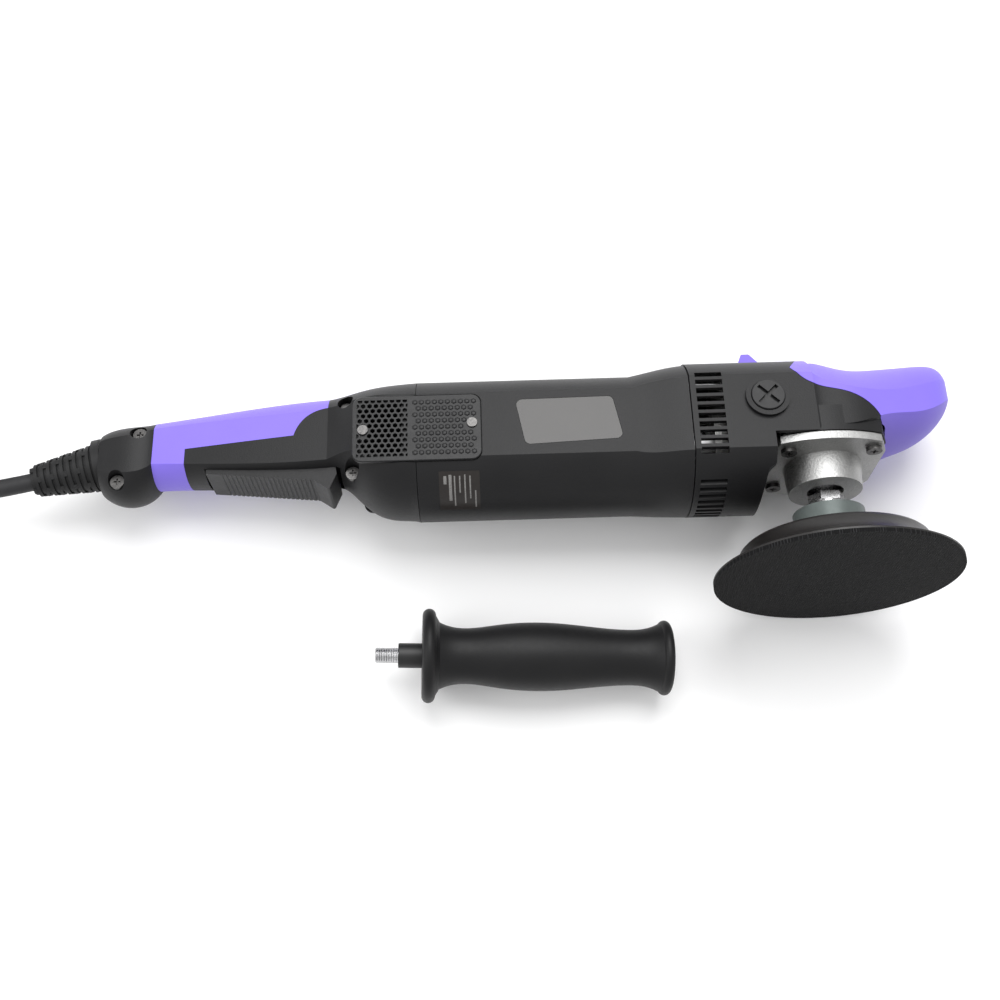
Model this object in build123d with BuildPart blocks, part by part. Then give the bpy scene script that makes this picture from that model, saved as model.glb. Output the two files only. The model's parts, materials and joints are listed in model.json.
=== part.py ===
"""Corded orbital car polisher: long motor body, angled gear head, 125 mm hook-faced plate, screw-in side handle.

Everything is modelled in the tool frame, in millimetres: X runs forward along the motor shaft, Y points away
from the backing plate and Z to the operator's right. The motor axis is Y = Z = 0 and the spindle axis X = Z = 0.
Each finished piece is then laid on the bench, where the tool rests on its left side: on the rim of its backing
plate, on the left handle socket of its gear head and on the rear corner of its motor housing.
"""

from build123d import *
from math import cos, pi, radians, sin, sqrt, tan
import os

os.makedirs("parts", exist_ok=True)

# ---------------------------------------------------------------- driving dimensions
plate_radius = 62.5           # backing plate, 125 mm across its hook face
face_depth = 75.7             # hook face below the motor axis
hub_depth = 39.9              # top of the backing plate's hub
flange_depth = 15.1           # underside of the bearing flange
flange_thick = 4.0
boss_depth = 29.3             # lower end of the flange's boss
orbit = 4.0                   # throw of the eccentric: an 8 mm stroke
orbit_phase = 16.0            # degrees the eccentric stands off straight down at rest

head_seam = -71.4             # motor housing meets gear head
rear_seam = -210.4            # motor housing meets handle shells
cuff_seam = -347.4            # soft grip meets the handle's end cuff
tail_end = -375.0             # rear end of the handle shells
barrel_radius = 36.7
barrel_flat = 32.0            # half width across the housing's side flats
head_flat = 35.5              # half width across the gear head's side flats
wall = 2.8
skin = 2.0                    # soft overmould on the handle
seam = 0.3                    # shut line between two pieces

crown_teeth = 37
pinion_teeth = 11
cone_distance = 22.0          # crown's pitch radius halfway along its teeth
ring_teeth = 28
planet_teeth = 20
gear_module = 1.0             # ring and planet: (28 - 20) / 2 is the 4 mm throw

socket_x = -32.4              # side-handle sockets, one on each flat of the gear head
socket_y = 8.6
stud_radius = 4.0             # M8 side-handle thread
running = 0.05                # radial clearance of a shaft in its bearing

cord_diameter = 9.5
cord_radius = cord_diameter / 2
coil_mean_radius = 52.0       # 10.9 diameters across at the middle of the turns
coil_columns = 3              # turns side by side
coil_layers = 4

# The bench: roll and pitch that bring three points of the tool down to Z = 0, and the middle of the footprint.
roll_on_bench = 16.633
pitch_on_bench = 1.624
lift_on_bench = 42.72
bench_shift = (171.316, 40.165)

bench = Location((*bench_shift, lift_on_bench)) * Rotation(0, -pitch_on_bench, 0) * Rotation(-roll_on_bench, 0, 0)
pad_x = orbit * sin(radians(orbit_phase))
pad_z = -orbit * cos(radians(orbit_phase))


def keep(piece, label, placing=bench):
    """Labels a finished piece, lays it on the bench and writes its STEP file."""
    piece.part = piece.part.moved(placing)
    piece.part.label = label
    export_step(piece.part, f"parts/{label}.step")


def profile(top, shoulder, haunch, floor, flat):
    """Section across the tool: an arched top and an arched floor between two upright side flats."""
    with BuildSketch() as face:
        with BuildLine():
            ThreePointArc((shoulder, flat), (top, 0), (shoulder, -flat))
            Line((shoulder, -flat), (haunch, -flat))
            ThreePointArc((haunch, -flat), (floor, 0), (haunch, flat))
            Line((haunch, flat), (shoulder, flat))
        make_face()
    return face.sketch


def outline(x, *heights):
    """The tool's section, standing square to the motor shaft at x."""
    with BuildSketch(Plane.YZ.offset(x)) as face:
        add(profile(*heights))
    return face.sketch


def inset_station(station, inset):
    """The same station with every wall moved inward."""
    x, top, shoulder, haunch, floor, flat = station
    return (x, top - inset, shoulder - inset / 2, haunch + inset / 2, floor + inset, flat - inset)


def form(stations, inset=0.0):
    """Solid lofted smoothly through stations (x, top, shoulder, haunch, floor, flat), optionally inset."""
    with BuildPart() as solid:
        loft([outline(*inset_station(station, inset)) for station in stations])
    return solid.part


def round_station(x, radius, centre, flat):
    """Station whose top and floor are one circle, cut by the side flats."""
    edge = sqrt(radius**2 - flat**2)
    return (x, centre + radius, centre + edge, centre - edge, centre - radius, flat)


def below(depth):
    """Plane square to the spindle, this far below the motor axis."""
    return Plane(origin=(0, -depth, 0), x_dir=(1, 0, 0), z_dir=(0, -1, 0))


def below_pad(depth):
    """Plane square to the pad spindle, this far below the motor axis."""
    return Plane(origin=(pad_x, -depth, pad_z), x_dir=(1, 0, 0), z_dir=(0, -1, 0))


def bearing(label, plane, bore, outer, width):
    """Sealed ball bearing drawn as one ring with a shallow shield groove on each side."""
    with BuildPart() as ring:
        with BuildSketch(plane):
            Circle(outer)
            Circle(bore, mode=Mode.SUBTRACT)
        extrude(amount=width)
        with BuildSketch(plane):
            Circle(outer - 1.6)
            Circle(bore + 1.4, mode=Mode.SUBTRACT)
        extrude(amount=0.5, mode=Mode.SUBTRACT)
    keep(ring, label)


def spur_tooth(foot, crest):
    """One slim straight-sided gear tooth seen along the gear's axis, from its foot radius to its crest."""
    with BuildSketch() as tooth:
        with BuildLine():
            Polyline((foot, -0.8), (foot, 0.8), (crest, 0.38), (crest, -0.38), close=True)
        make_face()
    return tooth.sketch


def sector(inner, outer, share, count):
    """One tooth's wedge seen along the gear's axis, share of a pitch wide."""
    half = pi * share / count
    with BuildSketch() as wedge:
        with BuildLine():
            Polyline((inner * cos(half), -inner * sin(half)), (outer * cos(half), -outer * sin(half)),
                     (outer * cos(half), outer * sin(half)), (inner * cos(half), inner * sin(half)), close=True)
        make_face()
    return wedge.sketch


# ---------------------------------------------------------------- motor housing
barrel_stations = [
    round_station(-100.0, barrel_radius, 0.0, barrel_flat),
    (-91.0, 38.7, 20.4, -19.3, -37.2, 32.4),
    (-79.0, 41.2, 21.6, -19.4, -37.6, 34.0),
    (head_seam, 42.1, 22.0, -19.5, -37.8, 34.8),
]
vent_x = (-242.7, -177.3)     # side vent covers, across the seam of housing and handle shells
vent_y = (-20.0, 17.0)
vent_recess = 1.4
badge_x = (-160.0, -107.0)
badge_y = (-12.4, 13.6)
boss_spots = [(24.0, 21.0), (24.0, -21.0), (-24.0, 21.0), (-24.0, -21.0)]   # Y, Z of the head screws


def vent_pocket(side):
    """Shallow pocket that one vent cover drops into."""
    face = Plane(origin=(0, 0, side * barrel_flat), x_dir=(1, 0, 0), z_dir=(0, 0, 1))
    with BuildPart() as pocket:
        with BuildSketch(face):
            with Locations((sum(vent_x) / 2, sum(vent_y) / 2)):
                RectangleRounded(vent_x[1] - vent_x[0] + seam, vent_y[1] - vent_y[0] + seam, 5)
        extrude(amount=vent_recess, both=True)
    return pocket.part


def badge_pocket(side, allowance):
    """Outline block of one blank badge inlay."""
    face = Plane(origin=(0, 0, side * barrel_flat), x_dir=(1, 0, 0), z_dir=(0, 0, 1))
    with BuildPart() as pocket:
        with BuildSketch(face) as shape:
            with BuildLine():
                Polyline((badge_x[0], badge_y[1] - 0.6), (badge_x[1] - 3.5, badge_y[1]),
                         (badge_x[1] + 1.0, badge_y[0] + 2.2), (badge_x[0] + 4.6, badge_y[0]), close=True)
            make_face()
            fillet(shape.vertices(), 3)
            if allowance:
                offset(amount=allowance)
        extrude(amount=0.9, both=True)
    return pocket.part


with BuildPart() as motor_housing:
    with BuildSketch(Plane.YZ.offset(rear_seam)):
        add(profile(*round_station(rear_seam, barrel_radius, 0, barrel_flat)[1:]))
    extrude(amount=-100.0 - rear_seam)
    add(form(barrel_stations))
    with BuildSketch(Plane.YZ.offset(rear_seam)):
        add(profile(*inset_station(barrel_stations[0], wall)[1:]))
    extrude(amount=-100.0 - rear_seam, mode=Mode.SUBTRACT)
    add(form(barrel_stations, wall), mode=Mode.SUBTRACT)
    with BuildSketch(Plane.YZ.offset(-102.0)):
        with Locations(*boss_spots):
            Circle(4.9)
    extrude(amount=head_seam + 102.0)
    with BuildSketch(Plane.YZ.offset(head_seam)):
        with Locations(*boss_spots):
            Circle(1.9)
    extrude(amount=-22, mode=Mode.SUBTRACT)
    for side in (1, -1):
        add(vent_pocket(side), mode=Mode.SUBTRACT)
        add(badge_pocket(side, 0.2), mode=Mode.SUBTRACT)
keep(motor_housing, "motor_housing")

# ---------------------------------------------------------------- side badges, blank inlays
with BuildPart() as side_badges:
    for side in (1, -1):
        with BuildPart(mode=Mode.PRIVATE) as inlay:
            add(badge_pocket(side, 0))
            split(bisect_by=Plane.XY.offset(side * (barrel_flat - 0.9)), keep=Keep.TOP if side > 0 else Keep.BOTTOM)
            split(bisect_by=Plane.XY.offset(side * barrel_flat), keep=Keep.BOTTOM if side > 0 else Keep.TOP)
        add(inlay.part)
keep(side_badges, "side_badges")

# ---------------------------------------------------------------- handle shells and soft grips
dome_stations = [
    round_station(rear_seam - seam, barrel_radius, 0.0, barrel_flat),
    (-226.0, 35.2, 18.4, -17.8, -34.6, 31.6),
    (-239.0, 33.2, 18.4, -11.4, -27.6, 28.5),
    (-248.0, 31.7, 18.6, -9.4, -18.4, 23.0),
    (-257.0, 30.4, 18.6, -11.0, -15.4, 18.4),
]
neck_stations = [
    dome_stations[-1],
    (-303.0, 25.6, 14.6, -11.4, -15.2, 17.2),
    (-332.0, 21.4, 12.4, -10.0, -15.2, 16.0),
    (cuff_seam, 19.4, 10.8, -9.2, -16.0, 15.3),
]
cuff_stations = [
    (cuff_seam, 19.4, 10.8, -9.2, -16.0, 15.3),
    (-355.0, 17.8, 7.0, -14.4, -23.2, 18.2),
    (-365.0, 16.8, 5.4, -14.4, -24.6, 18.4),
    (tail_end, 13.6, 4.2, -11.0, -19.6, 15.4),
]
shell_screws_at = [(-247.6, 20.2), (-244.0, -16.8), (-355.0, 8.6), (-364.6, -17.8)]
screw_head_z = 11.0
trigger_pivot = (-315.0, -9.0)
trigger_half = 13.0
slot_half = trigger_half + 0.4
slot_x = (-320.4, -250.6)

with BuildPart() as handle_form:
    for stations in (dome_stations, neck_stations, cuff_stations):
        add(form(stations))

with BuildPart() as handle_hollow:
    for stations in (dome_stations, neck_stations, cuff_stations):
        add(form(stations, wall + skin))

with BuildPart() as grip_zone:
    with BuildSketch(Plane.XY.offset(-45)):
        with BuildLine():
            l1 = Polyline((-253.0, 19.0), (-253.0, 45.0), (cuff_seam, 45.0), (cuff_seam, -30.0), (-330.5, -30.0),
                          (-330.5, -1.6), (-274.5, 3.4))
            Spline(l1 @ 1, (-269.4, 12.7), l1 @ 0)
        make_face()
    extrude(amount=90)

with BuildPart() as grip_skin:
    add(form(neck_stations))
    add(form(neck_stations, skin), mode=Mode.SUBTRACT)
    add(grip_zone.part, mode=Mode.INTERSECT)

with BuildPart() as handle_body:
    add(handle_form.part)
    add(handle_hollow.part, mode=Mode.SUBTRACT)
    with BuildPart(mode=Mode.PRIVATE) as bosses:
        with BuildSketch(Plane.XY.offset(-30)):
            with Locations(*shell_screws_at):
                Circle(5.5)
        extrude(amount=60)
        add(handle_form.part, mode=Mode.INTERSECT)
    add(bosses.part)
    add(grip_skin.part, mode=Mode.SUBTRACT)
    with BuildSketch(Plane.XY.offset(screw_head_z)):
        with Locations(*shell_screws_at):
            Circle(4.3)
    extrude(amount=40, mode=Mode.SUBTRACT)
    with BuildSketch(Plane.XY.offset(-9)):
        with Locations(*shell_screws_at):
            Circle(1.75)
    extrude(amount=30, mode=Mode.SUBTRACT)
    with Locations(((slot_x[0] + slot_x[1]) / 2, -15, 0)):
        Box(slot_x[1] - slot_x[0], 32, 2 * slot_half, mode=Mode.SUBTRACT)
    with BuildSketch(Plane.XY.offset(-14.9)):
        with Locations(trigger_pivot):
            Circle(2.0)
    extrude(amount=29.8, mode=Mode.SUBTRACT)
    with BuildSketch(Plane.YZ.offset(tail_end - 1)):
        with Locations((-2.4, 0)):
            Circle(9.2)
    extrude(amount=12, mode=Mode.SUBTRACT)
    for side in (1, -1):
        add(vent_pocket(side), mode=Mode.SUBTRACT)
        with Locations((-229.0, -1.5, side * 31)):
            Box(22, 28, 14, mode=Mode.SUBTRACT)

with BuildPart() as handle_shell_right:
    add(handle_body.part)
    split(bisect_by=Plane.XY, keep=Keep.TOP)
keep(handle_shell_right, "handle_shell_right")

with BuildPart() as handle_shell_left:
    add(handle_body.part)
    split(bisect_by=Plane.XY, keep=Keep.BOTTOM)
keep(handle_shell_left, "handle_shell_left")

with BuildPart() as handle_grip_right:
    add(grip_skin.part)
    split(bisect_by=Plane.XY, keep=Keep.TOP)
keep(handle_grip_right, "handle_grip_right")

with BuildPart() as handle_grip_left:
    add(grip_skin.part)
    split(bisect_by=Plane.XY, keep=Keep.BOTTOM)
keep(handle_grip_left, "handle_grip_left")

with BuildPart() as shell_screws:
    with BuildSketch(Plane.XY.offset(screw_head_z)):
        with Locations(*shell_screws_at):
            Circle(3.6)
            RectangleRounded(3.6, 0.9, 0.2, mode=Mode.SUBTRACT)
            RectangleRounded(0.9, 3.6, 0.2, mode=Mode.SUBTRACT)
    extrude(amount=2.2)
    with BuildSketch(Plane.XY.offset(screw_head_z)):
        with Locations(*shell_screws_at):
            Circle(3.6)
    extrude(amount=1)
    with BuildSketch(Plane.XY.offset(screw_head_z)):
        with Locations(*shell_screws_at):
            Circle(1.7)
    extrude(amount=-19.5)
keep(shell_screws, "shell_screws")

# ---------------------------------------------------------------- side vent covers and their screws
hex_pitch = 3.8
hex_radius = 1.4
vent_screws_at = [(-237.2, -2.4), (-182.1, 0.3)]
bar_x = -213.4

for side, label in ((1, "vent_cover_right"), (-1, "vent_cover_left")):
    with BuildPart() as vent_cover:
        face = Plane(origin=(0, 0, side * (barrel_flat - vent_recess + 0.02)), x_dir=(1, 0, 0), z_dir=(0, 0, side))
        with BuildSketch(Plane(origin=face.origin, x_dir=(1, 0, 0), z_dir=(0, 0, 1))):
            with Locations((sum(vent_x) / 2, sum(vent_y) / 2)):
                RectangleRounded(vent_x[1] - vent_x[0] - seam, vent_y[1] - vent_y[0] - seam, 5)
        extrude(amount=side * 1.9)
        with BuildSketch(Plane(origin=face.origin, x_dir=(1, 0, 0), z_dir=(0, 0, 1))):
            for row in range(8):
                for column in range(6):
                    spot = (bar_x - 5 - hex_pitch * (column + row % 2 / 2), -14.6 + hex_pitch * 0.866 * row * 1.15)
                    if abs(spot[0] - vent_screws_at[0][0]) > 4.5 or abs(spot[1] - vent_screws_at[0][1]) > 4.5:
                        with Locations(spot):
                            RegularPolygon(hex_radius, 6)
        extrude(amount=side * 3, mode=Mode.SUBTRACT)
        with BuildSketch(Plane(origin=face.origin, x_dir=(1, 0, 0), z_dir=(0, 0, 1))):
            with Locations(*vent_screws_at):
                Circle(1.6)
        extrude(amount=side * 3, mode=Mode.SUBTRACT)
    keep(vent_cover, label)

with BuildPart() as vent_cover_screws:
    for side in (1, -1):
        with BuildSketch(Plane(origin=(0, 0, side * (barrel_flat + 0.55)), x_dir=(1, 0, 0), z_dir=(0, 0, 1))):
            with Locations(*vent_screws_at):
                Circle(2.6)
        extrude(amount=side * 0.9)
        with BuildSketch(Plane(origin=(0, 0, side * (barrel_flat + 0.55)), x_dir=(1, 0, 0), z_dir=(0, 0, 1))):
            with Locations(*vent_screws_at):
                Circle(1.2)
        extrude(amount=-side * 1.9)
keep(vent_cover_screws, "vent_cover_screws")

# ---------------------------------------------------------------- trigger, its pin, spring and switch
with BuildPart() as trigger:
    with BuildSketch(Plane.XY.offset(-trigger_half)):
        with BuildLine():
            Polyline((-319.6, -6.2), (-319.6, -14.7), (-292.0, -17.4), (-263.8, -20.2), (-256.1, -25.6),
                     (-252.4, -16.6), (-253.4, -10.6), (-309.0, -6.2), close=True)
        make_face()
    extrude(amount=2 * trigger_half)
    with BuildSketch(Plane.XY.offset(-trigger_half)):
        with Locations(trigger_pivot):
            Circle(2.0 + running)
    extrude(amount=2 * trigger_half, mode=Mode.SUBTRACT)
    for rib in range(20):
        with Locations((-311.0 + 2.4 * rib, -15.8 - 0.235 * rib, 0)):
            Cylinder(0.6, 2 * trigger_half, mode=Mode.SUBTRACT)
    fillet(trigger.edges().filter_by(Axis.Z).sort_by(Axis.Y)[0], 1.2)
keep(trigger, "trigger")

with BuildPart() as trigger_pivot_pin:
    with BuildSketch(Plane.XY.offset(-14.8)):
        with Locations(trigger_pivot):
            Circle(2.0)
    extrude(amount=29.6)
keep(trigger_pivot_pin, "trigger_pivot_pin")

with BuildPart() as trigger_switch:
    with Locations((-281.0, 9.5, 0)):
        Box(36, 14, 18)
    with Locations((-272.0, 1.7, 0)):
        Cylinder(3.0, 2.0, rotation=(90, 0, 0))
    fillet(trigger_switch.edges().filter_by(Axis.Z).sort_by(Axis.Y)[-2:], 2)
keep(trigger_switch, "trigger_switch")


def spring(label, plane, radius, wire, length, turns):
    """Round-wire compression spring standing on a plane."""
    with BuildPart() as coil:
        with BuildLine() as path:
            Helix(length / turns, length, radius)
        with BuildSketch(Plane(origin=path.line @ 0, z_dir=path.line % 0)):
            Circle(wire)
        sweep(is_frenet=True)
    keep(coil, label, bench * plane.location)


spring("trigger_spring", Plane(origin=(-288.0, 2.0, 0), x_dir=(1, 0, 0), z_dir=(0, -1, 0)), 3.2, 0.45, 9.5, 4)

# ---------------------------------------------------------------- cord clamp and strain relief
with BuildPart() as cord_clamp:
    with Locations((-365.6, 2.0, 0)):
        Box(9, 8, 20)
    with BuildSketch(Plane.YZ.offset(-371.5)):
        with Locations((-3.6, 0)):
            Circle(cord_radius + 0.1)
    extrude(amount=12, mode=Mode.SUBTRACT)
keep(cord_clamp, "cord_clamp")

relief_tilt = 12.0
relief = Plane(origin=(tail_end - 0.3, -2.4, 0), x_dir=(0, 0, 1),
               z_dir=(-cos(radians(relief_tilt)), -sin(radians(relief_tilt)), 0))
relief_length = 37.5
with BuildPart() as strain_relief:
    with BuildSketch(Plane(origin=relief.origin, x_dir=relief.x_dir, z_dir=relief.z_dir)):
        Circle(14.6)
    extrude(amount=4.0)
    with BuildSketch(relief.offset(3.6)):
        Circle(11.8)
    with BuildSketch(relief.offset(relief_length)):
        Circle(7.2)
    loft()
    for ring in range(9):
        with BuildSketch(relief.offset(5.8 + 3.5 * ring)):
            Circle(12.4 - 0.48 * ring)
        extrude(amount=1.7)
    with BuildSketch(relief.offset(-1.0)):
        Circle(cord_radius + 0.1)
    extrude(amount=relief_length + 2, mode=Mode.SUBTRACT)
    with BuildSketch(Plane.YZ.offset(tail_end - 0.2)):
        Rectangle(80, 80)
    extrude(amount=20, mode=Mode.SUBTRACT)
keep(strain_relief, "strain_relief")

# ---------------------------------------------------------------- motor: end frame, bearings, stator, brushes
shaft_radius = 4.0
with BuildPart() as motor_end_frame:
    with BuildSketch(Plane.YZ.offset(-209.6)):
        add(profile(*round_station(0, barrel_radius - wall - 0.3, 0, barrel_flat - wall - 0.3)[1:]))
        with PolarLocations(22, 6, start_angle=30):
            Circle(5.0, mode=Mode.SUBTRACT)
    extrude(amount=3)
    with BuildSketch(Plane.YZ.offset(-209.6)):
        Circle(13.5)
    extrude(amount=10)
    with BuildSketch(Plane.YZ.offset(-206.6)):
        Circle(11.0)
    extrude(amount=8, mode=Mode.SUBTRACT)
keep(motor_end_frame, "motor_end_frame")

bearing("rear_bearing", Plane.YZ.offset(-206.6), shaft_radius, 11.0, 7.0)
bearing("front_bearing", Plane.YZ.offset(-56.0), 5.0, 13.0, 10.0)

core_x = (-165.0, -115.0)
with BuildPart() as stator_core:
    with BuildSketch(Plane.YZ.offset(core_x[0])):
        add(profile(*round_station(0, barrel_radius - wall - 0.4, 0, barrel_flat - wall - 0.4)[1:]))
        Circle(22.0, mode=Mode.SUBTRACT)
    extrude(amount=core_x[1] - core_x[0])
keep(stator_core, "stator_core")

with BuildPart() as field_windings:
    for start, length in ((core_x[0], -11.0), (core_x[1], 11.0)):
        with BuildSketch(Plane.YZ.offset(start)):
            Circle(29.0)
            Circle(22.5, mode=Mode.SUBTRACT)
        extrude(amount=length)
    fillet(field_windings.edges().filter_by(GeomType.CIRCLE).group_by(Axis.X)[0], 2)
    fillet(field_windings.edges().filter_by(GeomType.CIRCLE).group_by(Axis.X)[-1], 2)
keep(field_windings, "field_windings")

commutator_radius = 11.0
brush_x = -188.0
with BuildPart() as brush_holders:
    for side in (1, -1):
        with Locations((brush_x, 0, side * 20.5)):
            Box(11.0, 9.0, 15.0)
            Box(9.0, 6.6, 16.0, mode=Mode.SUBTRACT)
keep(brush_holders, "brush_holders")

with BuildPart() as carbon_brushes:
    for side in (1, -1):
        with Locations((brush_x, 0, side * (commutator_radius + 6.6))):
            Box(8.8, 6.4, 13.0)
keep(carbon_brushes, "carbon_brushes")

with BuildPart() as brush_springs:
    for side in (1, -1):
        with Locations((brush_x, 0, side * 26.3)):
            Box(8.0, 5.6, 3.8)
keep(brush_springs, "brush_springs")

# ---------------------------------------------------------------- armature
shaft_rear = -206.0
tooth_inner, tooth_outer = 18.5, 24.5          # bevel teeth, measured from the spindle axis
collar_x = (-37.0, -29.0)
with BuildPart() as armature_shaft:
    with BuildSketch(Plane.YZ.offset(shaft_rear)):
        Circle(shaft_radius - running)
    extrude(amount=-62.0 - shaft_rear)
    with BuildSketch(Plane.YZ.offset(-64.0)):
        Circle(5.0 - running)
    extrude(amount=64.0 - 38.0)
    with BuildSketch(Plane.YZ.offset(-38.0)):
        Circle(shaft_radius)
    extrude(amount=38.0 - tooth_inner)
keep(armature_shaft, "armature_shaft")

with BuildPart() as armature_core:
    with BuildSketch(Plane.YZ.offset(core_x[0])):
        Circle(21.4)
        Circle(shaft_radius, mode=Mode.SUBTRACT)
        with PolarLocations(20.2, 12):
            Rectangle(2.8, 2.0, mode=Mode.SUBTRACT)
    extrude(amount=core_x[1] - core_x[0])
keep(armature_core, "armature_core")

with BuildPart() as armature_windings:
    for start, length in ((core_x[0], -9.0), (core_x[1], 9.0)):
        with BuildSketch(Plane.YZ.offset(start)):
            Circle(18.4)
            Circle(shaft_radius, mode=Mode.SUBTRACT)
        extrude(amount=length)
keep(armature_windings, "armature_windings")

with BuildPart() as commutator:
    with BuildSketch(Plane.YZ.offset(-197.0)):
        Circle(commutator_radius)
        Circle(shaft_radius, mode=Mode.SUBTRACT)
        with PolarLocations(commutator_radius, 24):
            Rectangle(1.6, 0.6, mode=Mode.SUBTRACT)
    extrude(amount=18.0)
keep(commutator, "commutator")

with BuildPart() as cooling_fan:
    with BuildSketch(Plane.YZ.offset(-97.0)):
        Circle(26.0)
        Circle(shaft_radius, mode=Mode.SUBTRACT)
    extrude(amount=1.8)
    with BuildSketch(Plane.YZ.offset(-97.0)):
        Circle(8.0)
        Circle(shaft_radius, mode=Mode.SUBTRACT)
    extrude(amount=12.0)
    with BuildSketch(Plane.YZ.offset(-97.0)):
        with PolarLocations(16.5, 13):
            Rectangle(18.0, 1.6)
    extrude(amount=10.0)
keep(cooling_fan, "cooling_fan")

with BuildPart() as lock_collar:
    with BuildSketch(Plane.YZ.offset(collar_x[0])):
        Circle(8.4)
        Circle(shaft_radius, mode=Mode.SUBTRACT)
        with PolarLocations(8.4, 2):
            Rectangle(5.0, 5.6, mode=Mode.SUBTRACT)
    extrude(amount=collar_x[1] - collar_x[0])
keep(lock_collar, "lock_collar")

# ---------------------------------------------------------------- bevel pair
pitch_slope = pinion_teeth / crown_teeth      # rise of the crown's pitch cone per millimetre of radius
tip, root = 0.95, 1.25
tooth_share = 0.34

with BuildPart() as pinion_teeth_band:
    with BuildSketch(Plane.XY):
        with BuildLine():
            Polyline((-tooth_inner, pitch_slope * tooth_inner - root - 0.4),
                     (-tooth_inner, pitch_slope * tooth_inner + tip),
                     (-tooth_outer, pitch_slope * tooth_outer + tip),
                     (-tooth_outer, pitch_slope * tooth_outer - root - 0.4), close=True)
        make_face()
    revolve(axis=Axis.X)
    with BuildSketch(Plane.YZ.offset(-30)):
        with PolarLocations(0, pinion_teeth):
            add(sector(3.0, 12.0, tooth_share, pinion_teeth))
    extrude(amount=20, mode=Mode.INTERSECT)

with BuildPart() as bevel_pinion:
    with BuildSketch(Plane.XY):
        with BuildLine():
            Polyline((-tooth_inner, shaft_radius), (-tooth_inner, pitch_slope * tooth_inner - root),
                     (-tooth_outer, pitch_slope * tooth_outer - root), (-28.0, 6.0), (-28.0, shaft_radius), close=True)
        make_face()
    revolve(axis=Axis.X)
    add(pinion_teeth_band.part)
keep(bevel_pinion, "bevel_pinion")

half_tooth = 180 / crown_teeth
with BuildPart() as crown_teeth_band:
    with BuildSketch(Plane.XY):
        with BuildLine():
            Polyline((tooth_inner, pitch_slope * tooth_inner - tip), (tooth_outer, pitch_slope * tooth_outer - tip),
                     (tooth_outer, pitch_slope * tooth_outer + root + 0.4),
                     (tooth_inner, pitch_slope * tooth_inner + root + 0.4), close=True)
        make_face()
    revolve(axis=Axis.Y)
    with BuildSketch(Plane(origin=(0, 20, 0), x_dir=(1, 0, 0), z_dir=(0, -1, 0))):
        with PolarLocations(0, crown_teeth, start_angle=180 + half_tooth):
            add(sector(10.0, 30.0, tooth_share, crown_teeth))
    extrude(amount=20, mode=Mode.INTERSECT)

spindle_radius = 6.0
with BuildPart() as crown_gear:
    with BuildSketch(Plane.XY):
        with BuildLine():
            Polyline((spindle_radius, 6.6), (tooth_inner, pitch_slope * tooth_inner + root),
                     (tooth_outer, pitch_slope * tooth_outer + root), (tooth_outer, 12.5), (spindle_radius, 12.5),
                     close=True)
        make_face()
    revolve(axis=Axis.Y)
    add(crown_teeth_band.part)
keep(crown_gear, "crown_gear")

# ---------------------------------------------------------------- gear case
case_radius = 28.5
case_inner = 25.5
case_top = 27.6
case_low = -(flange_depth - flange_thick)
with BuildPart() as gear_case:
    with BuildSketch(Plane.XY):
        with BuildLine():
            Polyline((0, case_low), (case_radius, case_low), (case_radius, 13.5), (14.0, case_top), (0, case_top),
                     close=True)
        make_face()
    revolve(axis=Axis.Y)
    with BuildSketch(below(flange_depth - flange_thick)):
        with GridLocations(43.4, 43.4, 2, 2):
            Circle(5.0)
    extrude(amount=-12.0)
    with BuildSketch(Plane.YZ.offset(-57.0)):
        Circle(16.0)
    extrude(amount=40.0)
    with BuildSketch(Plane.YZ.offset(-53.5)):
        add(profile(38.3, 19.6, -16.6, -34.0, head_flat - wall - 0.5))
    extrude(amount=4.0)
    with BuildSketch(Plane.XY.offset(-34.4)):
        with Locations((socket_x, socket_y)):
            Circle(7.6)
    extrude(amount=68.8)
    with BuildSketch(Plane.XY):
        with BuildLine():
            Polyline((0, case_low), (case_inner, case_low), (case_inner, 14.2), (8.0, 14.2), (8.0, 18.0),
                     (10.0, 18.0), (10.0, 24.3), (0, 24.3), close=True)
        make_face()
    revolve(axis=Axis.Y, mode=Mode.SUBTRACT)
    with Locations((-22.0, case_low - 4, 0)):
        Box(24.6, 8, 34, mode=Mode.SUBTRACT)
    with BuildSketch(Plane.YZ.offset(-60.0)):
        Circle(5.5)
    extrude(amount=45.0, mode=Mode.SUBTRACT)
    with BuildSketch(Plane.YZ.offset(-57.0)):
        Circle(13.0)
    extrude(amount=11.0, mode=Mode.SUBTRACT)
    with BuildSketch(Plane.YZ.offset(-45.0)):
        Circle(9.4)
    extrude(amount=25.0, mode=Mode.SUBTRACT)
    with BuildSketch(below(-20.0)):
        with Locations((sum(collar_x) / 2, 0)):
            Circle(2.3)
    extrude(amount=15.0, mode=Mode.SUBTRACT)
    for side in (1, -1):
        with BuildSketch(Plane(origin=(0, 0, side * 34.4), x_dir=(1, 0, 0), z_dir=(0, 0, side))):
            with Locations((socket_x, side * socket_y)):
                Circle(stud_radius)
        extrude(amount=-14.0, mode=Mode.SUBTRACT)
    with BuildSketch(Plane.YZ.offset(-53.5)):
        with Locations(*boss_spots):
            Circle(2.1)
    extrude(amount=4.0, mode=Mode.SUBTRACT)
    with BuildSketch(below(flange_depth - flange_thick)):
        with GridLocations(43.4, 43.4, 2, 2):
            Circle(1.9)
    extrude(amount=-10.0, mode=Mode.SUBTRACT)
keep(gear_case, "gear_case")

with BuildPart() as head_screws:
    with BuildSketch(Plane.YZ.offset(-49.5)):
        with Locations(*boss_spots):
            Circle(3.6)
    extrude(amount=2.6)
    with BuildSketch(Plane.YZ.offset(-49.5)):
        with Locations(*boss_spots):
            Circle(1.8)
    extrude(amount=-42.0)
keep(head_screws, "head_screws")

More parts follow.
